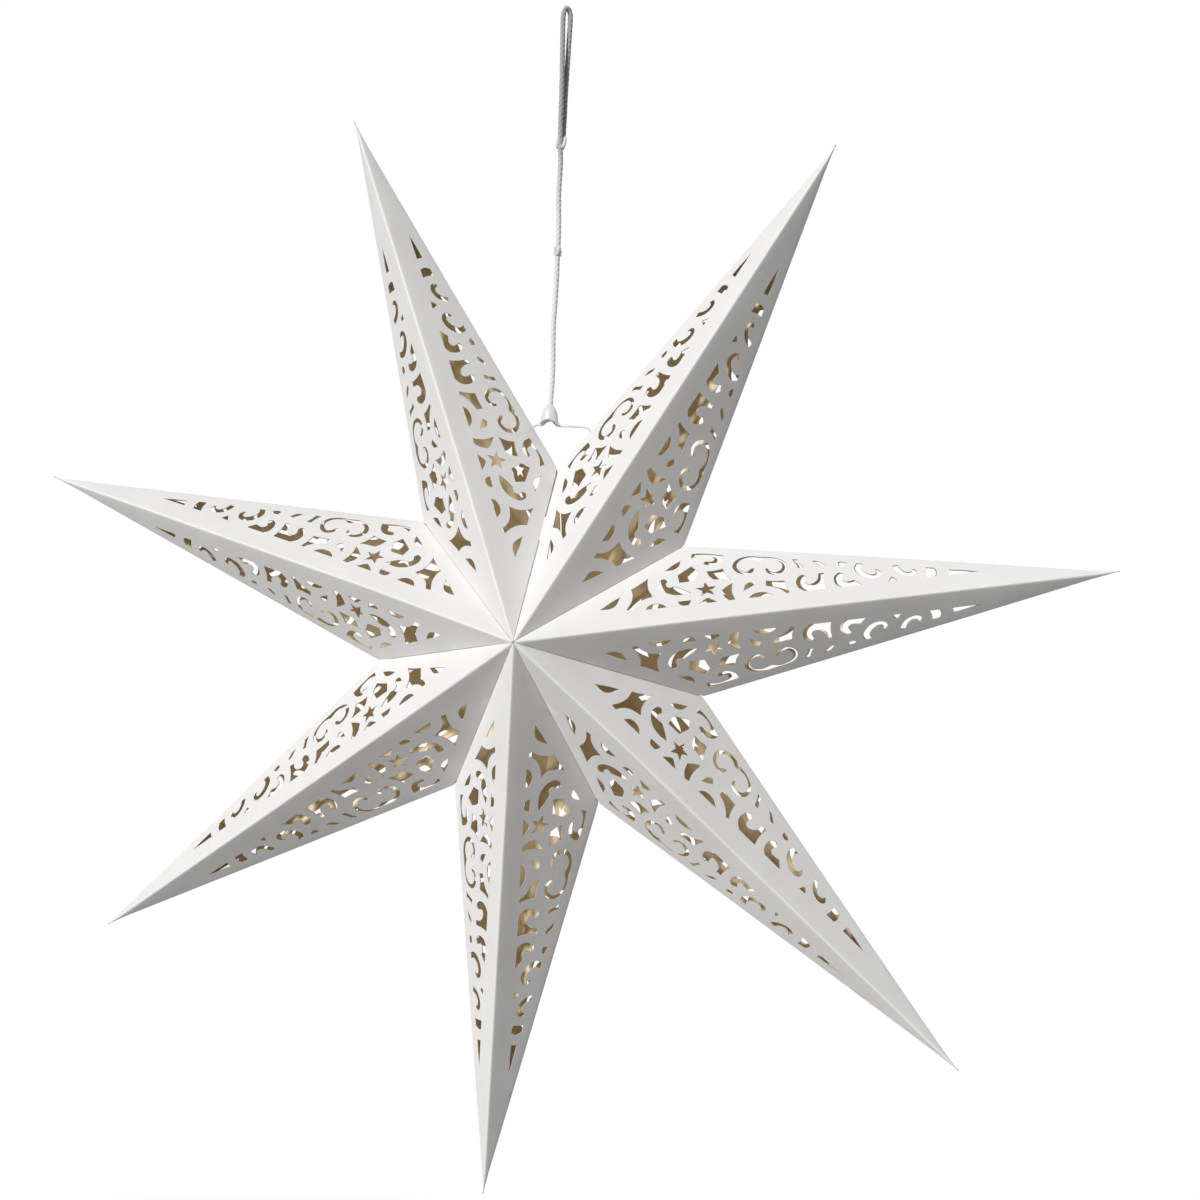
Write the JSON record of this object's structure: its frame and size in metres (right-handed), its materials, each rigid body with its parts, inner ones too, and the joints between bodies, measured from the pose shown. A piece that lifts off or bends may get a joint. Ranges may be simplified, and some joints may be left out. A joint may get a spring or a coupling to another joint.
{
  "type": "paper star",
  "caption": "Hanging star of folded white card, pierced on every face with scrolls, leaves and small stars, on a looped cord with a small bell cap.",
  "frame": {"origin": "centre of the star, midway between its front and back apexes", "axes": "+Z from the centre through the valley at the closing seam, where the cord is tied; -Y out of the front apex towards the viewer; +X to the viewer's right"},
  "size_m": [0.585, 0.1196, 0.6376],
  "materials": {
    "white_card": "satin white outside, buff inside, cut edges browned",
    "cord": "twisted off-white cotton",
    "cap": "moulded, milky white"
  },
  "bodies": {
    "root": {"arm_upper_right": "white_card", "arm_right": "white_card", "arm_lower_right": "white_card", "arm_bottom": "white_card", "arm_lower_left": "white_card", "arm_left": "white_card", "arm_upper_left": "white_card", "tie_thread": "cord", "cord_cap": "cap", "hanging_cord": "cord"}
  },
  "joints": []
}
